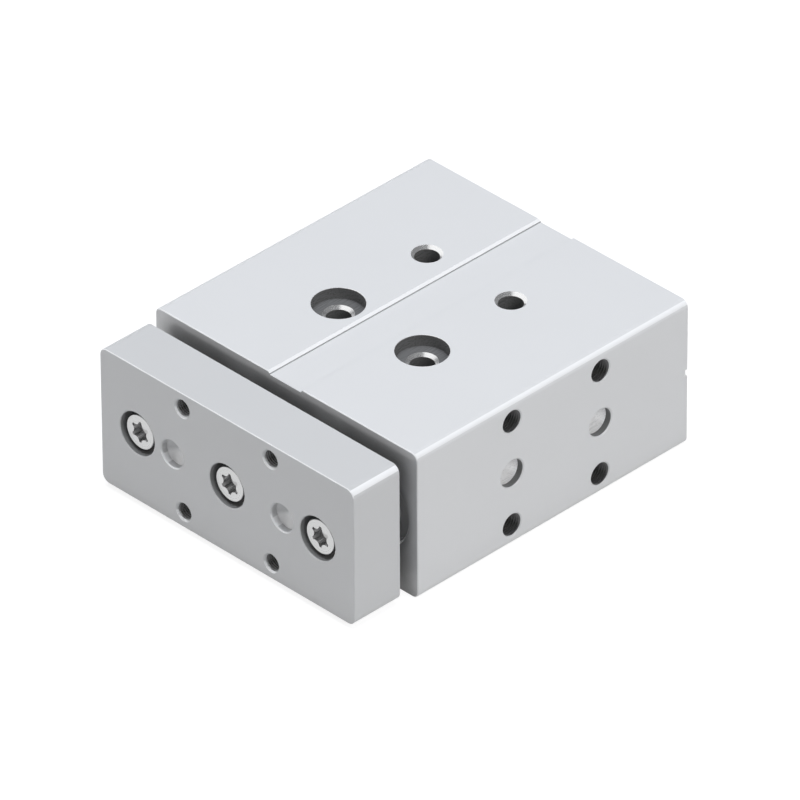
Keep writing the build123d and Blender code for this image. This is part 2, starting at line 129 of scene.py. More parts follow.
TURNED_NODES = ("bearing_cap", "end_cap", "piston_front", "piston_rear")
GUIDE_ROD_NODES = ("guide_rod_left", "guide_rod_right")
SCREW_NODES = ("rod_screw", "guide_screw_left", "guide_screw_right", "piston_nut")
RING_NODES = ("bearing_cap_retaining_ring", "end_cap_retaining_ring")
BUSH_NODES = ("rod_bush", "guide_bush_front_left", "guide_bush_front_right", "guide_bush_rear_left",
              "guide_bush_rear_right")
SEAL_NODES = ("rod_seal", "bearing_cap_o_ring", "end_cap_o_ring", "piston_seal_front", "piston_seal_rear",
              "piston_bumper_front", "piston_bumper_rear")
WIPER_NODES = ("guide_wiper_left", "guide_wiper_right")


class FinishSettings(bpy.types.PropertyGroup):
    """Colours and roughness of the pieces."""

    aluminium: bpy.props.FloatVectorProperty(
        name="Anodised housing", description="Colour of the housing",
        subtype="COLOR", size=3, min=0, max=1, default=(0.764, 0.765, 0.767))
    cut: bpy.props.FloatVectorProperty(
        name="Cut edge", description="Colour of chamfers and of the floors of the recesses",
        subtype="COLOR", size=3, min=0, max=1, default=(0.95, 0.95, 0.95))
    # Painted shade: the dark colour of the housing's hole walls stands in for the shade in the holes
    bore_wall_shade: bpy.props.FloatVectorProperty(
        name="Bore wall", description="Colour of the walls of the holes",
        subtype="COLOR", size=3, min=0, max=1, default=(0.17, 0.17, 0.17))
    # Painted shade: the dark colour of the plate's walls round the screw heads stands in for the shade in
    # the counterbores
    sunk: bpy.props.FloatVectorProperty(
        name="Sunk wall", description="Colour of the walls round the screw heads",
        subtype="COLOR", size=3, min=0, max=1, default=(0.36, 0.36, 0.36))
    plate: bpy.props.FloatVectorProperty(
        name="Anodised plate", description="Colour of the yoke plate",
        subtype="COLOR", size=3, min=0, max=1, default=(0.650, 0.651, 0.652))
    aluminium_metallic: bpy.props.FloatProperty(
        name="Metallic share", description="How much the anodised surface shines like bare metal",
        subtype="FACTOR", min=0, max=1, default=0.12)
    aluminium_roughness: bpy.props.FloatProperty(
        name="Satin roughness", description="Roughness of the anodised surface",
        subtype="FACTOR", min=0, max=1, default=0.42)
    cut_metallic: bpy.props.FloatProperty(
        name="Cut metallic share", description="How much a cut chamfer or recess shines like bare metal",
        subtype="FACTOR", min=0, max=1, default=0.85)
    cut_roughness: bpy.props.FloatProperty(
        name="Cut roughness", description="Roughness of a cut chamfer or recess",
        subtype="FACTOR", min=0, max=1, default=0.28)
    # Painted highlight: this bright colour on the upper edges that don't face left stands in for the light
    # they catch
    edge: bpy.props.FloatVectorProperty(
        name="Edge", description="Colour of the broken and rounded upper edges",
        subtype="COLOR", size=3, min=0, max=1, default=(0.95, 0.95, 0.95))
    # Painted shade: a dark line at the foot of the top groove's walls, where shade gathers
    seam: bpy.props.FloatVectorProperty(
        name="Seam", description="Colour of the seams along the top groove",
        subtype="COLOR", size=3, min=0, max=1, default=(0.42, 0.42, 0.42))
    turned: bpy.props.FloatVectorProperty(
        name="Turned aluminium", description="Colour of the caps and of the piston",
        subtype="COLOR", size=3, min=0, max=1, default=(0.66, 0.67, 0.68))
    steel: bpy.props.FloatVectorProperty(
        name="Screw steel", description="Colour of the screws",
        subtype="COLOR", size=3, min=0, max=1, default=(0.60, 0.60, 0.595))
    # Painted shade: the darker colour inside the screws' driver recess stands in for the shade in it
    recess: bpy.props.FloatVectorProperty(
        name="Driver recess", description="Colour inside the screws' driver recess",
        subtype="COLOR", size=3, min=0, max=1, default=(0.56, 0.56, 0.56))
    # Painted shade: the dark thread colour stands in for the shade deep in the holes
    thread: bpy.props.FloatVectorProperty(
        name="Cut thread", description="Colour of the cut threads",
        subtype="COLOR", size=3, min=0, max=1, default=(0.10, 0.10, 0.10))
    ground: bpy.props.FloatVectorProperty(
        name="Ground steel", description="Colour of the guide rods",
        subtype="COLOR", size=3, min=0, max=1, default=(0.60, 0.60, 0.59))
    chrome: bpy.props.FloatVectorProperty(
        name="Hard chrome", description="Colour of the piston rod",
        subtype="COLOR", size=3, min=0, max=1, default=(0.78, 0.79, 0.80))
    spring: bpy.props.FloatVectorProperty(
        name="Spring steel", description="Colour of the phosphated retaining rings",
        subtype="COLOR", size=3, min=0, max=1, default=(0.16, 0.16, 0.165))
    bronze: bpy.props.FloatVectorProperty(
        name="Sintered bronze", description="Colour of the bushes",
        subtype="COLOR", size=3, min=0, max=1, default=(0.52, 0.38, 0.22))
    rubber: bpy.props.FloatVectorProperty(
        name="Nitrile rubber", description="Colour of the seals and wipers",
        subtype="COLOR", size=3, min=0, max=1, default=(0.022, 0.022, 0.023))
    wiper: bpy.props.FloatVectorProperty(
        name="Wiper", description="Colour of the guide wipers",
        subtype="COLOR", size=3, min=0, max=1, default=(0.42, 0.42, 0.42))
    ferrite: bpy.props.FloatVectorProperty(
        name="Ferrite", description="Colour of the piston's ring magnet",
        subtype="COLOR", size=3, min=0, max=1, default=(0.06, 0.06, 0.065))
    bearing_plastic: bpy.props.FloatVectorProperty(
        name="Bearing plastic", description="Colour of the piston's guide ring",
        subtype="COLOR", size=3, min=0, max=1, default=(0.25, 0.24, 0.21))


class ThreadSettings(bpy.types.PropertyGroup):
    """Sizes of the cut threads. A diameter is that of the plain hole that the CAD part has."""

    yoke_diameter: bpy.props.FloatProperty(
        name="Yoke thread", description="Outer diameter of the threads in the yoke plate",
        subtype="DISTANCE", unit="LENGTH", default=3.0 * MM)
    yoke_pitch: bpy.props.FloatProperty(
        name="Yoke pitch", description="Pitch of the threads in the yoke plate",
        subtype="DISTANCE", unit="LENGTH", default=0.45 * MM)
    yoke_crest: bpy.props.FloatProperty(
        name="Yoke crest", description="Inner diameter of the threads in the yoke plate",
        subtype="DISTANCE", unit="LENGTH", default=2.64 * MM)
    yoke_chamfer: bpy.props.FloatProperty(
        name="Yoke mouth", description="Depth of the chamfer at a yoke thread's mouth",
        subtype="DISTANCE", unit="LENGTH", default=0.3 * MM)
    side_diameter: bpy.props.FloatProperty(
        name="Side thread", description="Outer diameter of the threads in the housing's side",
        subtype="DISTANCE", unit="LENGTH", default=4.0 * MM)
    side_pitch: bpy.props.FloatProperty(
        name="Side pitch", description="Pitch of the threads in the housing's side",
        subtype="DISTANCE", unit="LENGTH", default=0.5 * MM)
    side_crest: bpy.props.FloatProperty(
        name="Side crest", description="Inner diameter of the threads in the housing's side",
        subtype="DISTANCE", unit="LENGTH", default=3.6 * MM)
    side_chamfer: bpy.props.FloatProperty(
        name="Side mouth", description="Depth of the chamfer at a side thread's mouth",
        subtype="DISTANCE", unit="LENGTH", default=0.2 * MM)
    side_depth: bpy.props.FloatProperty(
        name="Side depth", description="Threaded depth of the holes in the housing's side",
        subtype="DISTANCE", unit="LENGTH", default=7.0 * MM)
    port_diameter: bpy.props.FloatProperty(
        name="Port thread", description="Outer diameter of the supply ports' threads",
        subtype="DISTANCE", unit="LENGTH", default=5.0 * MM)
    port_pitch: bpy.props.FloatProperty(
        name="Port pitch", description="Pitch of the supply ports' threads",
        subtype="DISTANCE", unit="LENGTH", default=0.8 * MM)
    port_crest: bpy.props.FloatProperty(
        name="Port crest", description="Inner diameter of the supply ports' threads",
        subtype="DISTANCE", unit="LENGTH", default=4.2 * MM)
    port_mouth: bpy.props.FloatProperty(
        name="Port mouth", description="Diameter of the countersink at a supply port's mouth",
        subtype="DISTANCE", unit="LENGTH", default=5.36 * MM)
    port_depth: bpy.props.FloatProperty(
        name="Port depth", description="Threaded depth of the supply ports",
        subtype="DISTANCE", unit="LENGTH", default=4.4 * MM)


class StageSettings(bpy.types.PropertyGroup):
    """The camera, the lights and the floor."""

    azimuth: bpy.props.FloatProperty(
        name="Azimuth", description="Where the camera stands round the part; 0 looks along +Y",
        subtype="ANGLE", unit="ROTATION", default=math.radians(45.385))
    elevation: bpy.props.FloatProperty(
        name="Elevation", description="How far the camera stands above the horizon",
        subtype="ANGLE", unit="ROTATION", default=math.radians(34.646))
    roll: bpy.props.FloatProperty(
        name="Roll", description="Turn of the picture about the line of sight",
        subtype="ANGLE", unit="ROTATION", default=math.radians(-0.307))
    distance: bpy.props.FloatProperty(
        name="Distance", description="From the camera to the point it looks at",
        subtype="DISTANCE", unit="LENGTH", default=2032.7 * MM)
    target: bpy.props.FloatVectorProperty(
        name="Target", description="The point the camera looks at",
        subtype="TRANSLATION", unit="LENGTH", size=3, default=(0.502 * MM, 1.030 * MM, 11.993 * MM))
    lens: bpy.props.FloatProperty(
        name="Focal length", description="Focal length for a sensor 36 mm wide, in millimetres",
        min=1, default=570.5)
    key_level: bpy.props.FloatProperty(
        name="Key light", description="Light from the right, where 1 lights a white face fully",
        min=0, default=0.425)
    fill_level: bpy.props.FloatProperty(
        name="Fill light", description="Light from the left front, where 1 lights a white face fully",
        min=0, default=0.15)
    top_level: bpy.props.FloatProperty(
        name="Top light", description="Light from above, where 1 lights a white face fully",
        min=0, default=0.80)
    sky_level: bpy.props.FloatProperty(
        name="Ambient light", description="Strength of the even light from all round",
        min=0, default=0.15)
    light_distance: bpy.props.FloatProperty(
        name="Light distance", description="From the part to each light",
        subtype="DISTANCE", unit="LENGTH", default=1.2)
    light_size: bpy.props.FloatProperty(
        name="Light size", description="Side of the key light and of the top light",
        subtype="DISTANCE", unit="LENGTH", default=0.7)
    fill_size: bpy.props.FloatProperty(
        name="Fill size",
        description="Side of the fill light, which casts the yoke's shadow on the housing",
        subtype="DISTANCE", unit="LENGTH", default=0.22)
    floor_size: bpy.props.FloatProperty(
        name="Floor size", description="Side of the square floor",
        subtype="DISTANCE", unit="LENGTH", default=6.0)


def new_group(name, inputs, outputs):
    """Empty shader node group with the named float or vector inputs and float outputs."""
    group = bpy.data.node_groups.new(name, "ShaderNodeTree")
    for label, kind, default in inputs:
        socket = group.interface.new_socket(label, in_out="INPUT", socket_type=kind)
        socket.default_value = default
    for label in outputs:
        group.interface.new_socket(label, in_out="OUTPUT", socket_type="NodeSocketFloat")
    return group, group.nodes.new("NodeGroupInput"), group.nodes.new("NodeGroupOutput")


def math_node(tree, operation, first, second=None, third=None):
    """Math node whose operands are sockets or numbers. Returns its output socket."""
    node = tree.nodes.new("ShaderNodeMath")
    node.operation = operation
    for socket, value in zip(node.inputs, (first, second, third)):
        if isinstance(value, bpy.types.NodeSocket):
            tree.links.new(value, socket)
        elif value is not None:
            socket.default_value = value
    return node.outputs[0]


def fine_grain_group():
    """Group with fine grain and soft clouds, which can be drawn out into lines by Stretch."""
    inputs = (("Scale", "NodeSocketFloat", 6000.0), ("Stretch", "NodeSocketVector", (1.0, 1.0, 1.0)))
    group, source, result = new_group("Fine grain", inputs, ("Grain", "Clouds"))
    place = group.nodes.new("ShaderNodeTexCoord")
    stretch = group.nodes.new("ShaderNodeVectorMath")
    stretch.operation = "MULTIPLY"
    group.links.new(place.outputs["Object"], stretch.inputs[0])
    group.links.new(source.outputs["Stretch"], stretch.inputs[1])
    grain = group.nodes.new("ShaderNodeTexNoise")
    grain.inputs["Detail"].default_value = 2.0
    group.links.new(stretch.outputs[0], grain.inputs["Vector"])
    group.links.new(source.outputs["Scale"], grain.inputs["Scale"])
    clouds = group.nodes.new("ShaderNodeTexNoise")
    clouds.inputs["Detail"].default_value = 3.0
    clouds.inputs["Scale"].default_value = 90.0
    group.links.new(place.outputs["Object"], clouds.inputs["Vector"])
    group.links.new(grain.outputs["Fac"], result.inputs["Grain"])
    group.links.new(clouds.outputs["Fac"], result.inputs["Clouds"])
    return group


def turned_rings_group():
    """Group with the fine rings that a lathe leaves round each of the three rod axes."""
    inputs = (("Spacing", "NodeSocketFloat", GUIDE_X), ("Height", "NodeSocketFloat", AXIS_HEIGHT),
              ("Scale", "NodeSocketFloat", 9000.0))
    group, source, result = new_group("Turned rings", inputs, ("Rings",))
    place = group.nodes.new("ShaderNodeTexCoord")
    split = group.nodes.new("ShaderNodeSeparateXYZ")
    group.links.new(place.outputs["Object"], split.inputs[0])
    half = math_node(group, "MULTIPLY", source.outputs["Spacing"], 0.5)
    minus_half = math_node(group, "MULTIPLY", source.outputs["Spacing"], -0.5)
    across = math_node(group, "WRAP", split.outputs["X"], half, minus_half)
    up = math_node(group, "SUBTRACT", split.outputs["Z"], source.outputs["Height"])
    squares = math_node(group, "ADD", math_node(group, "POWER", math_node(group, "ABSOLUTE", across), 2.0),
                        math_node(group, "POWER", math_node(group, "ABSOLUTE", up), 2.0))
    radius = math_node(group, "SQRT", squares)
    rings = group.nodes.new("ShaderNodeTexNoise")
    rings.noise_dimensions = "1D"
    rings.inputs["Detail"].default_value = 1.0
    group.links.new(radius, rings.inputs["W"])
    group.links.new(source.outputs["Scale"], rings.inputs["Scale"])
    group.links.new(rings.outputs["Fac"], result.inputs["Rings"])
    return group


def hole_pattern_group():
    """Group that finds the holes of a rectangular pattern, and the walls in them.

    Across and Up are the surface's place in the plane of the pattern, Depth its place along the holes and
    Slope the surface normal's share along them. Half sizes of zero put holes in a line or a single one.
    """
    inputs = [(label, "NodeSocketFloat", default) for label, default in (
        ("Across", 0.0), ("Up", 0.0), ("Depth", 1.0), ("Slope", 0.0), ("Centre Across", 0.0),
        ("Centre Up", 0.0), ("Half Across", 0.0), ("Half Up", 0.0), ("Radius", 1.0), ("Start", 0.0))]
    group, source, result = new_group("Hole pattern", inputs, ("Inside", "Wall"))
    squares = []
    for direction in ("Across", "Up"):
        place, centre = source.outputs[direction], source.outputs["Centre " + direction]
        offset = math_node(group, "ABSOLUTE", math_node(group, "SUBTRACT", place, centre))
        nearest = math_node(group, "SUBTRACT", offset, source.outputs["Half " + direction])
        squares.append(math_node(group, "MULTIPLY", nearest, nearest))
    radius = math_node(group, "SQRT", math_node(group, "ADD", *squares))
    near = math_node(group, "LESS_THAN", radius, source.outputs["Radius"])
    deep = math_node(group, "GREATER_THAN", source.outputs["Depth"], source.outputs["Start"])
    inside = math_node(group, "MULTIPLY", near, deep)
    steep = math_node(group, "LESS_THAN", math_node(group, "ABSOLUTE", source.outputs["Slope"]), STEEP)
    group.links.new(inside, result.inputs["Inside"])
    group.links.new(math_node(group, "MULTIPLY", inside, steep), result.inputs["Wall"])
    return group


def shared_group(name, build):
    """The shader node group of that name, built the first time it is asked for."""
    return bpy.data.node_groups.get(name) or build()


def new_material(name):
    """Material with a Principled BSDF, and the grain group beside it."""
    material = bpy.data.materials.new(name)
    material.use_nodes = True
    tree = material.node_tree
    grain = tree.nodes.new("ShaderNodeGroup")
    grain.node_tree = shared_group("Fine grain", fine_grain_group)
    return material, tree, tree.nodes["Principled BSDF"], grain


def mix_colour(tree, mask, first, second):
    """Colour that goes from the first to the second with the mask; each is a socket or a colour."""
    mix = tree.nodes.new("ShaderNodeMix")
    mix.data_type = "RGBA"
    for socket, value in zip((mix.inputs["A"], mix.inputs["B"]), (first, second)):
        if isinstance(value, bpy.types.NodeSocket):
            tree.links.new(value, socket)
        else:
            socket.default_value = (*value, 1)
    tree.links.new(mask, mix.inputs["Factor"])
    return mix.outputs["Result"]


def varied(tree, mask, colour, variation):
    """A colour that varies a little over the surface."""
    low = [channel * (1 - variation) for channel in colour]
    high = [min(channel * (1 + variation), 1) for channel in colour]
    return mix_colour(tree, mask, low, high)


def vary_colour(tree, shader, mask, colour, variation):
    """Let the base colour vary a little over the surface."""
    tree.links.new(varied(tree, mask, colour, variation), shader.inputs["Base Color"])


def vary_roughness(tree, shader, mask, roughness, variation):
    """Let the roughness vary a little over the surface."""
    spread = tree.nodes.new("ShaderNodeMapRange")
    spread.inputs["To Min"].default_value = roughness - variation
    spread.inputs["To Max"].default_value = roughness + variation
    tree.links.new(mask, spread.inputs["Value"])
    tree.links.new(spread.outputs["Result"], shader.inputs["Roughness"])


def add_bump(tree, shader, height, distance, strength):
    """Fine relief on the surface."""
    bump = tree.nodes.new("ShaderNodeBump")
    bump.inputs["Distance"].default_value = distance
    bump.inputs["Strength"].default_value = strength
    tree.links.new(height, bump.inputs["Height"])
    tree.links.new(bump.outputs["Normal"], shader.inputs["Normal"])


def split_places(tree):
    """The surface's place and normal, as two dictionaries of sockets by axis."""
    coordinates = tree.nodes.new("ShaderNodeTexCoord")
    found = []
    for label in ("Object", "Normal"):
        split = tree.nodes.new("ShaderNodeSeparateXYZ")
        tree.links.new(coordinates.outputs[label], split.inputs[0])
        found.append({axis: split.outputs[axis] for axis in "XYZ"})
    return found


def find_holes(tree, place, normal, patterns):
    """Masks of all the holes, of what is cut bright in them and of their walls.

    A pattern is (axis, centres, halves, radius, start, bright). The two centres and the two half sizes
    follow the two other axes in their order. The holes lie beyond the start, seen from the origin along
    the axis, or anywhere along it where the start is None. Bright holes count as cut. A level floor deep
    in a vertical hole counts as wall.
    """
    below = math_node(tree, "LESS_THAN", math_node(tree, "ABSOLUTE", math_node(
        tree, "SUBTRACT", place["Z"], AXIS_HEIGHT)), AXIS_HEIGHT - HOUSING_LOW.z - MOUTH_DEPTH)
    level = math_node(tree, "GREATER_THAN", math_node(tree, "ABSOLUTE", normal["Z"]), SQUARE_ON)
    sunk_floor = math_node(tree, "MULTIPLY", below, level)
    slopes = dict(normal, Z=math_node(
        tree, "MULTIPLY", normal["Z"], math_node(tree, "SUBTRACT", 1.0, sunk_floor)))
    hole, cut, wall = 0.0, 0.0, 0.0
    for axis, centres, halves, radius, start, bright in patterns:
        holes = tree.nodes.new("ShaderNodeGroup")
        holes.node_tree = shared_group("Hole pattern", hole_pattern_group)
        across, up = [other for other in "XYZ" if other != axis]
        tree.links.new(place[across], holes.inputs["Across"])
        tree.links.new(place[up], holes.inputs["Up"])
        tree.links.new(slopes[axis], holes.inputs["Slope"])
        if start is not None:
            depth = math_node(tree, "MULTIPLY", place[axis], math.copysign(1.0, start))
            tree.links.new(depth, holes.inputs["Depth"])
            holes.inputs["Start"].default_value = abs(start)
        holes.inputs["Centre Across"].default_value, holes.inputs["Centre Up"].default_value = centres
        holes.inputs["Half Across"].default_value, holes.inputs["Half Up"].default_value = halves
        holes.inputs["Radius"].default_value = radius
        hole = math_node(tree, "MAXIMUM", holes.outputs["Inside"], hole)
        if bright:
            cut = math_node(tree, "MAXIMUM", holes.outputs["Inside"], cut)
        wall = math_node(tree, "MAXIMUM", holes.outputs["Wall"], wall)
    return hole, cut, wall


def smooth_step(tree, value, start, end):
    """Value that goes smoothly from 0 at the start to 1 at the end."""
    rise = tree.nodes.new("ShaderNodeMapRange")
    rise.interpolation_type = "SMOOTHSTEP"
    rise.inputs["From Min"].default_value = start
    rise.inputs["From Max"].default_value = end
    tree.links.new(value, rise.inputs["Value"])
    return rise.outputs["Result"]


def below_surface(tree, place, low, high):
    """1 where the place is under every outer face of the box, which is so only in a hole or recess."""
    depths = []
    for axis, lowest, highest in zip("XYZ", low, high):
        offset = math_node(tree, "SUBTRACT", place[axis], (lowest + highest) / 2)
        distance = math_node(tree, "ABSOLUTE", offset)
        depths.append(math_node(tree, "SUBTRACT", distance, (highest - lowest) / 2))
    nearest = math_node(tree, "MAXIMUM", math_node(tree, "MAXIMUM", depths[0], depths[1]), depths[2])
    return math_node(tree, "LESS_THAN", nearest, -SKIN)


def edge_highlight_faces(tree, normal):
    """Mask of the painted highlight on the upper broken and rounded edges, laid only where they don't face
    left.
    """
    sizes = [math_node(tree, "ABSOLUTE", normal[axis]) for axis in "XYZ"]
    largest = math_node(tree, "MAXIMUM", math_node(tree, "MAXIMUM", sizes[0], sizes[1]), sizes[2])
    slanted = smooth_step(tree, largest, *EDGE_SLANT)
    upper = math_node(tree, "MULTIPLY", smooth_step(tree, normal["Z"], *EDGE_UPPER),
                      smooth_step(tree, normal["X"], *EDGE_NOT_LEFT))
    return math_node(tree, "MULTIPLY", slanted, upper)


def groove_foot_shade(tree, place):
    """Mask of the painted shade, a thin dark line, at the foot of the top groove's walls."""
    shallow = math_node(tree, "GREATER_THAN", place["Z"], GROOVE_FLOOR - FOOT_SHADE_DEPTH)
    across = math_node(tree, "ABSOLUTE", place["X"])
    foot = math_node(tree, "MULTIPLY", math_node(tree, "GREATER_THAN", across, GROOVE_HALF - FOOT_SHADE_ON_FLOOR),
                     math_node(tree, "LESS_THAN", across, GROOVE_HALF + FOOT_SHADE_IN_WALL))
    sunk = math_node(tree, "LESS_THAN", place["Z"], GROOVE_FLOOR + FOOT_SHADE_HEIGHT)
    return math_node(tree, "MULTIPLY", math_node(tree, "MULTIPLY", shallow, foot), sunk)


def anodised_aluminium(name, colour, bore_wall_shade, finishes, stretch, patterns, low, high):
    """Clear anodised satin aluminium, bright where chamfers and recesses were cut, with painted shade on
    the bore walls, at the foot of the top groove's walls and where close pieces shade the end faces, and a
    painted highlight on the upper edges.
    """
    material, tree, shader, grain = new_material(name)
    grain.inputs["Scale"].default_value = 5200.0
    grain.inputs["Stretch"].default_value = stretch
    place, normal = split_places(tree)
    deep = below_surface(tree, place, low, high)
    hole, inside, wall = [math_node(tree, "MULTIPLY", mask, deep)
                          for mask in find_holes(tree, place, normal, patterns)]
    outer = math_node(tree, "SUBTRACT", 1.0, hole)
    # Painted highlight on the upper edges that don't face left
    edges = math_node(tree, "MULTIPLY", edge_highlight_faces(tree, normal), outer)
    anodised = varied(tree, grain.outputs["Clouds"], colour, variation=0.012)
    edge_highlighted = mix_colour(tree, edges, anodised, finishes.edge)
    # Painted shade at the foot of the groove's walls
    groove_shaded = mix_colour(tree, groove_foot_shade(tree, place), edge_highlighted, finishes.seam)
    lit = mix_colour(tree, inside, groove_shaded, finishes.cut)
    # Painted shade: the walls of the holes take a dark colour that stands in for the shade in them
    shown = mix_colour(tree, wall, lit, bore_wall_shade)
    shade = tree.nodes.new("ShaderNodeAmbientOcclusion")
    shade.inputs["Distance"].default_value = SHADE_REACH
    closed = math_node(tree, "SUBTRACT", 1.0, shade.outputs["AO"])
    ends = math_node(tree, "GREATER_THAN", math_node(tree, "ABSOLUTE", normal["Y"]), SQUARE_ON)
    depth = math_node(tree, "MULTIPLY", math_node(tree, "MULTIPLY", ends, outer), SHADE_DEPTH)
    dark = math_node(tree, "MULTIPLY", smooth_step(tree, closed, *SHADE_LIMITS), depth)
    tree.links.new(mix_colour(tree, dark, shown, (0.0, 0.0, 0.0)), shader.inputs["Base Color"])
    shine = finishes.cut_metallic - finishes.aluminium_metallic
    sideways = math_node(tree, "GREATER_THAN", math_node(
        tree, "MAXIMUM", normal["X"], math_node(tree, "MULTIPLY", normal["Y"], -1.0)), FACING)
    dulled = math_node(tree, "SUBTRACT", inside, math_node(
        tree, "MAXIMUM", wall, math_node(tree, "MULTIPLY", inside, sideways)))
    bare = math_node(tree, "MAXIMUM", dulled, 0.0)
    metallic = math_node(tree, "MULTIPLY_ADD", bare, shine, finishes.aluminium_metallic)
    tree.links.new(metallic, shader.inputs["Metallic"])
    smoother = finishes.cut_roughness - finishes.aluminium_roughness
    rough = math_node(tree, "MULTIPLY_ADD", inside, smoother, finishes.aluminium_roughness)
    grainy = math_node(tree, "MULTIPLY_ADD", grain.outputs["Grain"], GRAIN_ROUGHNESS, -GRAIN_ROUGHNESS / 2)
    tree.links.new(math_node(tree, "ADD", rough, grainy), shader.inputs["Roughness"])
    add_bump(tree, shader, grain.outputs["Grain"], distance=0.004 * MM, strength=0.25)
    return material


def turned_metal(name, colour, metallic, roughness, ring_strength):
    """Metal with the rings that turning or grinding leaves."""
    material, tree, shader, grain = new_material(name)
    shader.inputs["Metallic"].default_value = metallic
    rings = tree.nodes.new("ShaderNodeGroup")
    rings.node_tree = shared_group("Turned rings", turned_rings_group)
    vary_colour(tree, shader, grain.outputs["Clouds"], colour, variation=0.03)
    vary_roughness(tree, shader, rings.outputs["Rings"], roughness, variation=0.07)
    add_bump(tree, shader, rings.outputs["Rings"], distance=0.01 * MM, strength=ring_strength)
    return material


def rod_axis_patterns(radius, bright):
    """Hole patterns of one radius round the axes of the three rods, which their screws share."""
    return [("Y", (0, AXIS_HEIGHT), (half, 0), radius, None, bright) for half in (0, GUIDE_X)]


def screw_steel(name, finishes):
    """Plated steel, with painted shade inside the driver recess and a painted shadow ring round the head's
    face.
    """
    material = turned_metal(name, finishes.steel, metallic=0.85, roughness=0.3, ring_strength=0.2)
    tree = material.node_tree
    shader = tree.nodes["Principled BSDF"]
    head = shader.inputs["Base Color"].links[0].from_socket
    place, normal = split_places(tree)
    inside = find_holes(tree, place, normal, rod_axis_patterns(RECESS_RADIUS, True))[0]
    # Painted shade inside the driver recess
    below = math_node(tree, "GREATER_THAN", place["Y"], SCREW_LOW.y + HEAD_SKIN)
    recess = math_node(tree, "MULTIPLY", inside, below)
    recess_shaded = mix_colour(tree, recess, head, finishes.recess)
    # Painted shadow: a dark ring in the spring steel's colour round the head's face stands in for the shade
    # in the gap to the counterbore wall
    face = find_holes(tree, place, normal, rod_axis_patterns(HEAD_FACE_RADIUS, True))[0]
    rim = math_node(tree, "SUBTRACT", 1.0, face)
    tree.links.new(mix_colour(tree, rim, recess_shaded, finishes.spring), shader.inputs["Base Color"])
    return material


def plain_finish(name, colour, metallic, roughness, relief):
    """Dull finish with a fine grain, for rubber, plastic, ferrite, bronze and phosphated steel."""
    material, tree, shader, grain = new_material(name)
    shader.inputs["Metallic"].default_value = metallic
    vary_colour(tree, shader, grain.outputs["Clouds"], colour, variation=0.06)
    vary_roughness(tree, shader, grain.outputs["Grain"], roughness, variation=0.05)
    add_bump(tree, shader, grain.outputs["Grain"], distance=relief, strength=0.4)
    return material


def pattern_of(mount, axis, radius, start, bright):
    """Hole pattern of a mount, from its place and spacing in the record."""
    centre = dict(zip("XYZ", MOUNTS[mount]["pos_m"]))
    others = [other for other in "XYZ" if other != axis]
    sizes = MOUNTS[mount]["dims"]
    halves = [sizes.get(key, 0.0) * MM / 2 for key in ("spacing_x_mm", "spacing_y_mm")]
    return axis, tuple(centre[other] for other in others), tuple(halves), radius, start, bright


def housing_patterns():
    """Where the housing's holes are."""
    middle = (0, AXIS_HEIGHT)
    side_middle = (MOUNTS["side_threads"]["pos_m"][1], AXIS_HEIGHT)
    side_half = (MOUNTS["side_threads"]["dims"]["spacing_x_mm"] * MM / 2, 0)
    front, rear = (MOUNTS["supply_port_" + end]["pos_m"] for end in ("front", "rear"))
    port_middle, port_half = ((front[1] + rear[1]) / 2, front[2]), ((rear[1] - front[1]) / 2, 0)
    side_start = HOUSING_HIGH.x / 2
    return (
        pattern_of("housing_holes", "Z", FIXING_HOLE_RADIUS, None, True),
        pattern_of("side_threads", "X", SIDE_THREAD_RADIUS, side_start, False),
        ("X", side_middle, side_half, SIDE_CENTRING_FLOOR, side_start, True),
        ("X", side_middle, side_half, SIDE_CENTRING_MOUTH, side_start, False),
        ("X", port_middle, port_half, PORT_RADIUS, -side_start, True),
        ("Y", middle, (GUIDE_X, 0), WIPER_SEAT_RADIUS, HOUSING_LOW.y + WIPER_SEAT_DEPTH, True),
        ("Y", middle, (GUIDE_X, 0), GUIDE_BORE_RADIUS, None, True),
        ("Y", middle, (0, 0), CAP_RECESS_RADIUS, None, True),
    )


def paint(nodes, material):
    """Give CAD nodes a material."""
    for name in nodes:
        mesh = frame["nodes"][name].data
        mesh.materials.clear()
        mesh.materials.append(material)


def thread_mesh(root, crest, pitch, length, mouth):
    """The ridge of an internal thread, wound down -Z from the origin, and its countersunk mouth.

    root and crest are radii, and mouth is the countersink's radius, or None where the hole has its own.
    """
    mesh = bmesh.new()
    start = 0.0 if mouth is None else crest - mouth
    turns = int((length + start) / pitch)
    corners = ((root, 0), (crest, -CREST_START * pitch), (crest, -CREST_END * pitch),
               (root, -ROOT_END * pitch))
    ridge = mesh.faces.new([mesh.verts.new((radius, 0, start + height)) for radius, height in corners])
    bmesh.ops.spin(
        mesh, geom=[ridge, *ridge.edges, *ridge.verts], cent=(0, 0, 0), axis=(0, 0, 1),
        dvec=(0, 0, -pitch / THREAD_STEPS), angle=2 * math.pi * turns, steps=THREAD_STEPS * turns,
        use_merge=False)
    if mouth is not None:
        end = start - MOUTH_OVERLAP * pitch
        corners = ((mouth, 0), (crest, start), (crest, end), (root, end))
        rim = [mesh.verts.new((radius, 0, height)) for radius, height in corners]
        edges = [mesh.edges.new((rim[index - 1], rim[index])) for index in range(len(rim))]
        bmesh.ops.spin(
            mesh, geom=[*rim, *edges], cent=(0, 0, 0), axis=(0, 0, 1), dvec=(0, 0, 0),
            angle=2 * math.pi, steps=2 * THREAD_STEPS, use_merge=True)
    bmesh.ops.recalc_face_normals(mesh, faces=mesh.faces)
    return mesh


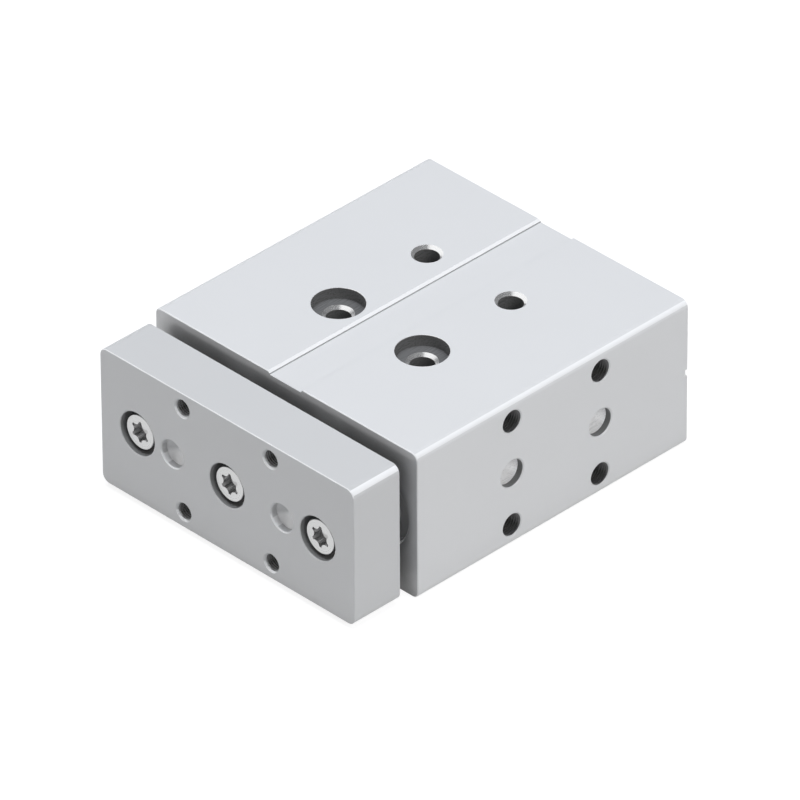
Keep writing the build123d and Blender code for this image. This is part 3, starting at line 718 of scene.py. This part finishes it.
def add_piece(name, mesh, material, body):
    """Object made of a bmesh, which rides on a CAD body."""
    data = bpy.data.meshes.new(name)
    mesh.to_mesh(data)
    mesh.free()
    data.materials.append(material)
    piece = bpy.data.objects.new(name, data)
    bpy.context.scene.collection.objects.link(piece)
    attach(piece, body)
    return piece


def threads_at(places, turn, **sizes):
    """One bmesh with a thread at each place, whose -Z is turned into the hole."""
    joined = bmesh.new()
    for place in places:
        thread = thread_mesh(**sizes)
        bmesh.ops.transform(thread, matrix=Matrix.Translation(place) @ turn, verts=thread.verts)
        part = bpy.data.meshes.new("thread")
        thread.to_mesh(part)
        thread.free()
        joined.from_mesh(part)
        bpy.data.meshes.remove(part)
    return joined


def thread_material(context):
    """Cut aluminium in a dark colour that is painted shade for the depth of the holes, shared by all the
    threads.
    """
    colour = context.scene.cylinder_finishes.thread
    return bpy.data.materials.get("cut_thread") or turned_metal(
        "cut_thread", colour, metallic=0.5, roughness=0.35, ring_strength=0.0)


class CYLINDER_OT_finish_aluminium(bpy.types.Operator):
    """Give the housing and the yoke plate their satin anodised finish, with painted shade and painted
    highlights
    """

    bl_idname = "cylinder.finish_aluminium"
    bl_label = "Finish housing and yoke"

    def execute(self, context):
        finishes = context.scene.cylinder_finishes
        housing = anodised_aluminium("anodised_housing", finishes.aluminium, finishes.bore_wall_shade, finishes,
                                     (1.0, 0.04, 1.0), housing_patterns(), HOUSING_LOW, HOUSING_HIGH)
        sunk_holes = rod_axis_patterns(PLATE_COUNTERBORE_RADIUS, False)
        plate = anodised_aluminium("anodised_plate", finishes.plate, finishes.sunk, finishes,
                                   (1.0, 1.0, 1.0), sunk_holes, PLATE_LOW, PLATE_HIGH)
        paint(["housing"], housing)
        paint(["yoke_plate"], plate)
        return {"FINISHED"}


class CYLINDER_OT_finish_turned(bpy.types.Operator):
    """Give the caps and the piston their turned finish"""

    bl_idname = "cylinder.finish_turned"
    bl_label = "Finish caps and piston"

    def execute(self, context):
        finishes = context.scene.cylinder_finishes
        paint(TURNED_NODES, turned_metal(
            "turned_aluminium", finishes.turned, metallic=0.8, roughness=0.34, ring_strength=0.3))
        return {"FINISHED"}


class CYLINDER_OT_finish_rods(bpy.types.Operator):
    """Give the guide rods their ground finish and the piston rod its hard chrome"""

    bl_idname = "cylinder.finish_rods"
    bl_label = "Finish rods"

    def execute(self, context):
        finishes = context.scene.cylinder_finishes
        paint(GUIDE_ROD_NODES, turned_metal(
            "ground_steel", finishes.ground, metallic=1.0, roughness=0.2, ring_strength=0.15))
        paint(["piston_rod"], turned_metal(
            "hard_chrome", finishes.chrome, metallic=1.0, roughness=0.12, ring_strength=0.05))
        return {"FINISHED"}


class CYLINDER_OT_finish_screws(bpy.types.Operator):
    """Give the screws and the retaining rings their finishes"""

    bl_idname = "cylinder.finish_screws"
    bl_label = "Finish screws and rings"

    def execute(self, context):
        finishes = context.scene.cylinder_finishes
        paint(SCREW_NODES, screw_steel("screw_steel", finishes))
        paint(RING_NODES, plain_finish(
            "phosphated_steel", finishes.spring, metallic=0.6, roughness=0.45, relief=0.01 * MM))
        return {"FINISHED"}


class CYLINDER_OT_finish_bearings(bpy.types.Operator):
    """Give the bushes, seals, wipers and the magnet their finishes"""

    bl_idname = "cylinder.finish_bearings"
    bl_label = "Finish bearings and seals"

    def execute(self, context):
        finishes = context.scene.cylinder_finishes
        paint(BUSH_NODES, plain_finish(
            "sintered_bronze", finishes.bronze, metallic=0.8, roughness=0.4, relief=0.02 * MM))
        paint(WIPER_NODES, plain_finish(
            "wiper", finishes.wiper, metallic=0.0, roughness=0.4, relief=0.01 * MM))
        paint(SEAL_NODES, plain_finish(
            "nitrile_rubber", finishes.rubber, metallic=0.0, roughness=0.5, relief=0.01 * MM))
        paint(["piston_magnet"], plain_finish(
            "ferrite", finishes.ferrite, metallic=0.2, roughness=0.6, relief=0.03 * MM))
        paint(["piston_guide_ring"], plain_finish(
            "bearing_plastic", finishes.bearing_plastic, metallic=0.0, roughness=0.5, relief=0.01 * MM))
        return {"FINISHED"}


class CYLINDER_OT_cut_yoke_threads(bpy.types.Operator):
    """Cut the four threads through the yoke plate"""

    bl_idname = "cylinder.cut_yoke_threads"
    bl_label = "Cut yoke threads"

    def execute(self, context):
        sizes = context.scene.cylinder_threads
        pattern = MOUNTS["yoke_threads"]["dims"]
        reach_x, reach_z = pattern["spacing_x_mm"] * MM / 2, pattern["spacing_y_mm"] * MM / 2
        start = PLATE_LOW.y + sizes.yoke_chamfer
        places = [Vector((x, start, AXIS_HEIGHT + z))
                  for x in (-reach_x, reach_x) for z in (-reach_z, reach_z)]
        threads = threads_at(
            places, Matrix.Rotation(math.pi / 2, 4, "X"), root=sizes.yoke_diameter / 2 + EMBED,
            crest=sizes.yoke_crest / 2, pitch=sizes.yoke_pitch,
            length=PLATE_HIGH.y - start - sizes.yoke_chamfer, mouth=None)
        add_piece("yoke_threads", threads, thread_material(context), "yoke")
        return {"FINISHED"}


class CYLINDER_OT_cut_side_threads(bpy.types.Operator):
    """Cut the four threads in the housing's right side"""

    bl_idname = "cylinder.cut_side_threads"
    bl_label = "Cut side threads"

    def execute(self, context):
        sizes = context.scene.cylinder_threads
        middle = Vector(MOUNTS["side_threads"]["pos_m"])
        pattern = MOUNTS["side_threads"]["dims"]
        reach_y, reach_z = pattern["spacing_x_mm"] * MM / 2, pattern["spacing_y_mm"] * MM / 2
        below = -sizes.side_chamfer
        places = [middle + Vector((below, y, z))
                  for y in (-reach_y, reach_y) for z in (-reach_z, reach_z)]
        threads = threads_at(
            places, Matrix.Rotation(math.pi / 2, 4, "Y"), root=sizes.side_diameter / 2 + EMBED,
            crest=sizes.side_crest / 2, pitch=sizes.side_pitch, length=sizes.side_depth, mouth=None)
        add_piece("side_threads", threads, thread_material(context), "housing")
        return {"FINISHED"}


class CYLINDER_OT_cut_port_threads(bpy.types.Operator):
    """Cut the threads of the two supply ports"""

    bl_idname = "cylinder.cut_port_threads"
    bl_label = "Cut port threads"

    def execute(self, context):
        sizes = context.scene.cylinder_threads
        places = [Vector((HOUSING_LOW.x, *MOUNTS["supply_port_" + end]["pos_m"][1:]))
                  for end in ("front", "rear")]
        threads = threads_at(
            places, Matrix.Rotation(-math.pi / 2, 4, "Y"), root=sizes.port_diameter / 2 + EMBED,
            crest=sizes.port_crest / 2, pitch=sizes.port_pitch, length=sizes.port_depth,
            mouth=sizes.port_mouth / 2)
        add_piece("port_threads", threads, thread_material(context), "housing")
        return {"FINISHED"}


def seen_ray(tree):
    """1 for a ray from the camera, through glass or from a reflection, 0 for one that only lights."""
    path = tree.nodes.new("ShaderNodeLightPath")
    seen = math_node(tree, "MAXIMUM", path.outputs["Is Camera Ray"], path.outputs["Is Transmission Ray"])
    return math_node(tree, "MAXIMUM", seen, path.outputs["Is Glossy Ray"])


def pale_side(tree):
    """1 towards the pale left front of the studio that reflections show, 0 towards its shaded rest."""
    along = tree.nodes.new("ShaderNodeVectorMath")
    along.operation = "DOT_PRODUCT"
    tree.links.new(tree.nodes.new("ShaderNodeTexCoord").outputs["Generated"], along.inputs[0])
    along.inputs[1].default_value = Vector(PALE_DIRECTION).normalized()
    return smooth_step(tree, along.outputs["Value"], *PALE_LIMITS)


def light_sky(level):
    """White background for the camera, reflections of a studio that is white towards its pale left front
    and shaded elsewhere, and an even light of its own level.
    """
    world = bpy.data.worlds.new("studio")
    world.use_nodes = True
    tree = world.node_tree
    tree.nodes.clear()
    white = tree.nodes.new("ShaderNodeBackground")
    glossy = tree.nodes.new("ShaderNodeLightPath").outputs["Is Glossy Ray"]
    shade = math_node(tree, "MULTIPLY", math_node(tree, "SUBTRACT", 1.0, pale_side(tree)), glossy)
    tree.links.new(mix_colour(tree, shade, (1, 1, 1), SHADED_STUDIO), white.inputs["Color"])
    even = tree.nodes.new("ShaderNodeBackground")
    even.inputs["Color"].default_value = (*SKY_COLOUR, 1)
    even.inputs["Strength"].default_value = level
    mix = tree.nodes.new("ShaderNodeMixShader")
    output = tree.nodes.new("ShaderNodeOutputWorld")
    tree.links.new(seen_ray(tree), mix.inputs[0])
    tree.links.new(even.outputs[0], mix.inputs[1])
    tree.links.new(white.outputs[0], mix.inputs[2])
    tree.links.new(mix.outputs[0], output.inputs["Surface"])
    bpy.context.scene.world = world


def lay_floor(size):
    """Plain white floor that keeps a faint shadow of the part."""
    mesh = bmesh.new()
    bmesh.ops.create_grid(mesh, x_segments=1, y_segments=1, size=size / 2)
    data = bpy.data.meshes.new("floor")
    mesh.to_mesh(data)
    mesh.free()
    floor = bpy.data.objects.new("floor", data)
    bpy.context.scene.collection.objects.link(floor)
    material = bpy.data.materials.new("white_floor")
    material.use_nodes = True
    tree = material.node_tree
    shader = tree.nodes["Principled BSDF"]
    shader.inputs["Base Color"].default_value = (*FLOOR_COLOUR, 1)
    shader.inputs["Roughness"].default_value = 0.9
    shader.inputs["Specular IOR Level"].default_value = 0.0
    shown = tree.nodes.new("ShaderNodeBsdfDiffuse")
    shown.inputs["Color"].default_value = (*FLOOR_SHADOW_COLOUR, 1)
    lift = tree.nodes.new("ShaderNodeEmission")
    lift.inputs["Strength"].default_value = FLOOR_LIFT
    lifted = tree.nodes.new("ShaderNodeAddShader")
    tree.links.new(shown.outputs[0], lifted.inputs[0])
    tree.links.new(lift.outputs[0], lifted.inputs[1])
    mix = tree.nodes.new("ShaderNodeMixShader")
    tree.links.new(seen_ray(tree), mix.inputs[0])
    tree.links.new(shader.outputs[0], mix.inputs[1])
    tree.links.new(lifted.outputs[0], mix.inputs[2])
    tree.links.new(mix.outputs[0], tree.nodes["Material Output"].inputs["Surface"])
    data.materials.append(material)


def hang_light(name, direction, level, size, distance, colour=(1, 1, 1)):
    """Square area light that faces the part; a level of 1 lights a white face fully."""
    away = Vector(direction).normalized()
    lamp = bpy.data.lights.new(name, "AREA")
    lamp.shape = "SQUARE"
    lamp.size = size
    lamp.color = colour
    lamp.energy = level * math.pi ** 2 * distance ** 2
    holder = bpy.data.objects.new(name, lamp)
    holder.location = Vector((0, 0, AXIS_HEIGHT)) + away * distance
    holder.rotation_mode = "QUATERNION"
    holder.rotation_quaternion = away.to_track_quat("Z", "Y")
    holder.visible_camera = False
    holder.visible_glossy = False
    bpy.context.scene.collection.objects.link(holder)


def set_camera(settings):
    """Camera at the photograph's view."""
    turn, rise, roll = settings.azimuth, settings.elevation, settings.roll
    back = Vector((math.sin(turn) * math.cos(rise), -math.cos(turn) * math.cos(rise), math.sin(rise)))
    right = Vector((math.cos(turn), math.sin(turn), 0))
    up = back.cross(right)
    right, up = right * math.cos(roll) + up * math.sin(roll), up * math.cos(roll) - right * math.sin(roll)
    camera = bpy.data.objects.new("camera", bpy.data.cameras.new("camera"))
    camera.data.sensor_width = SENSOR_WIDTH
    camera.data.lens = settings.lens
    camera.data.clip_start = 0.1
    camera.data.clip_end = 20.0
    camera.rotation_mode = "QUATERNION"
    camera.rotation_quaternion = Matrix((right, up, back)).transposed().to_quaternion()
    camera.location = Vector(settings.target) + back * settings.distance
    bpy.context.scene.collection.objects.link(camera)
    bpy.context.scene.camera = camera


class CYLINDER_OT_set_stage(bpy.types.Operator):
    """Set up the camera, the lights, the white background and the floor"""

    bl_idname = "cylinder.set_stage"
    bl_label = "Set stage"

    def execute(self, context):
        settings = context.scene.cylinder_stage
        context.scene.view_settings.view_transform = "Standard"
        light_sky(settings.sky_level)
        lay_floor(settings.floor_size)
        size, distance = settings.light_size, settings.light_distance
        hang_light("key", KEY_DIRECTION, settings.key_level, size, distance)
        hang_light("fill", FILL_DIRECTION, settings.fill_level, settings.fill_size, distance)
        hang_light("top", TOP_DIRECTION, settings.top_level, size, distance, TOP_COLOUR)
        set_camera(settings)
        return {"FINISHED"}


OPERATORS = (
    CYLINDER_OT_finish_aluminium,
    CYLINDER_OT_finish_turned,
    CYLINDER_OT_finish_rods,
    CYLINDER_OT_finish_screws,
    CYLINDER_OT_finish_bearings,
    CYLINDER_OT_cut_yoke_threads,
    CYLINDER_OT_cut_side_threads,
    CYLINDER_OT_cut_port_threads,
    CYLINDER_OT_set_stage,
)


class CYLINDER_PT_looks(bpy.types.Panel):
    """Lists the steps and the settings"""

    bl_idname = "CYLINDER_PT_looks"
    bl_label = "Guided cylinder"
    bl_space_type = "VIEW_3D"
    bl_region_type = "UI"
    bl_category = "Cylinder"

    def draw(self, context):
        for operator in OPERATORS:
            self.layout.operator(operator.bl_idname)
        for group in (context.scene.cylinder_finishes, context.scene.cylinder_threads,
                      context.scene.cylinder_stage):
            box = self.layout.box()
            for setting in group.bl_rna.properties:
                if not setting.is_readonly and setting.identifier != "name":
                    box.prop(group, setting.identifier)


CLASSES = (FinishSettings, ThreadSettings, StageSettings, *OPERATORS, CYLINDER_PT_looks)


def register():
    """Register the classes and hang the settings on the scene."""
    for item in CLASSES:
        bpy.utils.register_class(item)
    bpy.types.Scene.cylinder_finishes = bpy.props.PointerProperty(type=FinishSettings)
    bpy.types.Scene.cylinder_threads = bpy.props.PointerProperty(type=ThreadSettings)
    bpy.types.Scene.cylinder_stage = bpy.props.PointerProperty(type=StageSettings)


def unregister():
    """Take the settings off the scene and unregister the classes."""
    del bpy.types.Scene.cylinder_stage
    del bpy.types.Scene.cylinder_threads
    del bpy.types.Scene.cylinder_finishes
    for item in reversed(CLASSES):
        bpy.utils.unregister_class(item)


def main():
    """Run every step in order."""
    register()
    bpy.ops.cylinder.finish_aluminium()
    bpy.ops.cylinder.finish_turned()
    bpy.ops.cylinder.finish_rods()
    bpy.ops.cylinder.finish_screws()
    bpy.ops.cylinder.finish_bearings()
    bpy.ops.cylinder.cut_yoke_threads()
    bpy.ops.cylinder.cut_side_threads()
    bpy.ops.cylinder.cut_port_threads()
    bpy.ops.cylinder.set_stage()


if __name__ == "__main__":
    main()
